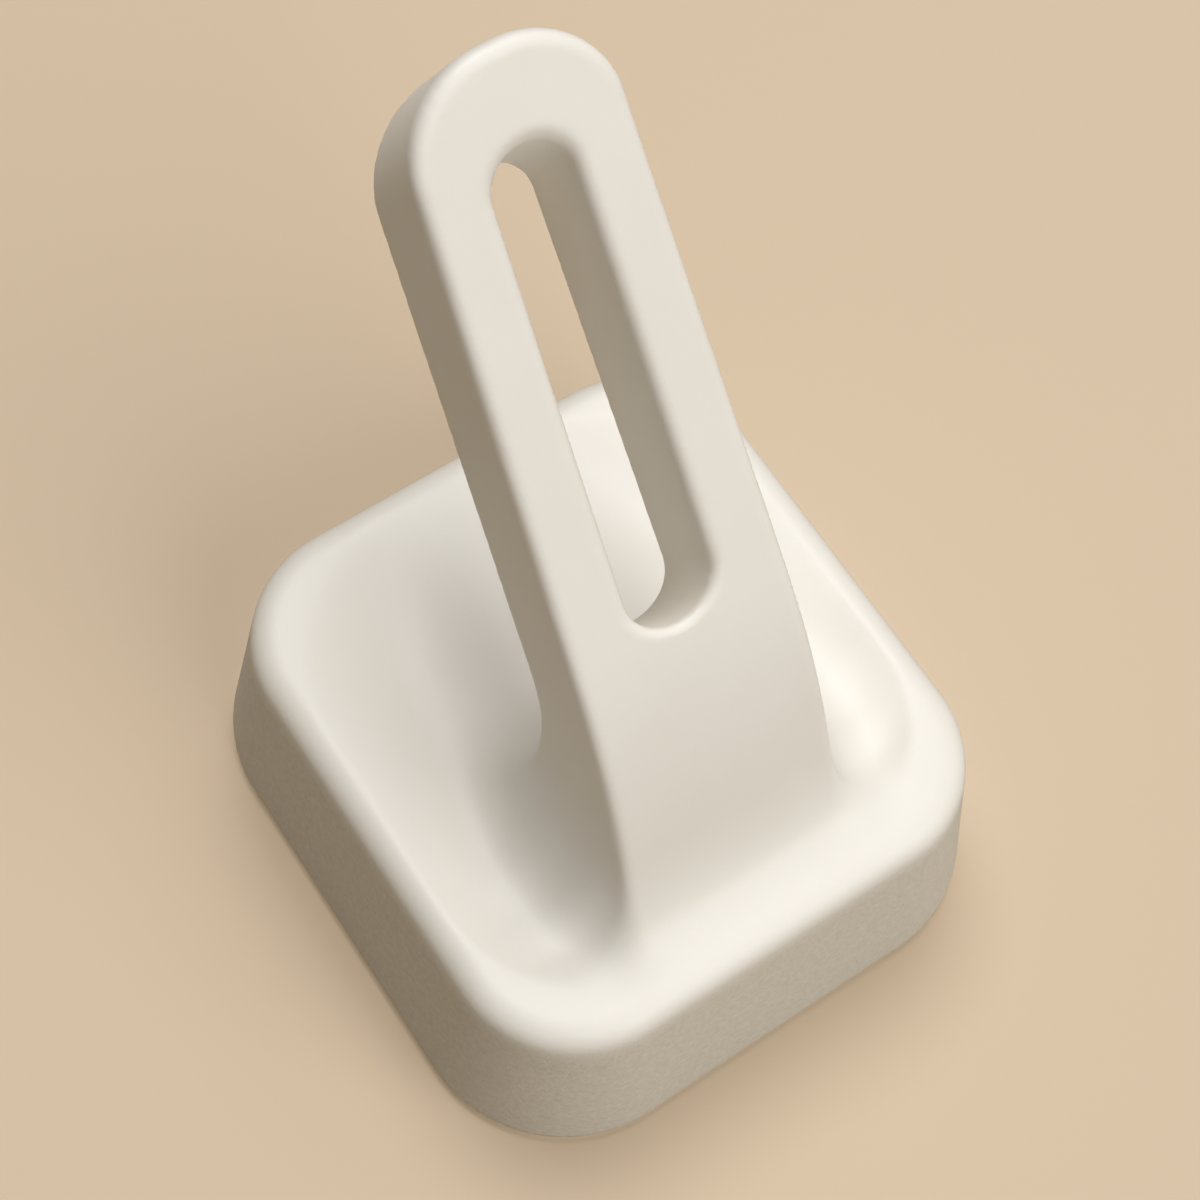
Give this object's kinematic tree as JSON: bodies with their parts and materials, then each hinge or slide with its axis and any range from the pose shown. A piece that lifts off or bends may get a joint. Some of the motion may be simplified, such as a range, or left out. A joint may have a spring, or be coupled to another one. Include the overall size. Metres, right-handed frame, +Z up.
{
  "type": "adhesive wall hook",
  "caption": "Stick-on wall hook: a rounded drafted block with a dished front carries a flat slotted arm that leans out and up; a foam tape pad bonds its rear to a flat wall.",
  "frame": {"origin": "centre of the adhesive face that meets the wall", "axes": "+Y into the wall, so the hook stands out along -Y; +Z up the wall; +X to the right as seen from the room"},
  "size_m": [0.044, 0.0702, 0.0466],
  "materials": {
    "body_plastic": "moulded ivory ABS with a fine satin grain",
    "plate_plastic": "moulded plate, plain matte",
    "foam": "closed-cell polyethylene foam",
    "adhesive": "clear acrylic pressure-sensitive adhesive"
  },
  "bodies": {
    "root": {"hook_body": "body_plastic", "back_plate": "plate_plastic", "pad_front_adhesive": "adhesive", "pad_foam_core": "foam", "pad_wall_adhesive": "adhesive"}
  },
  "joints": []
}
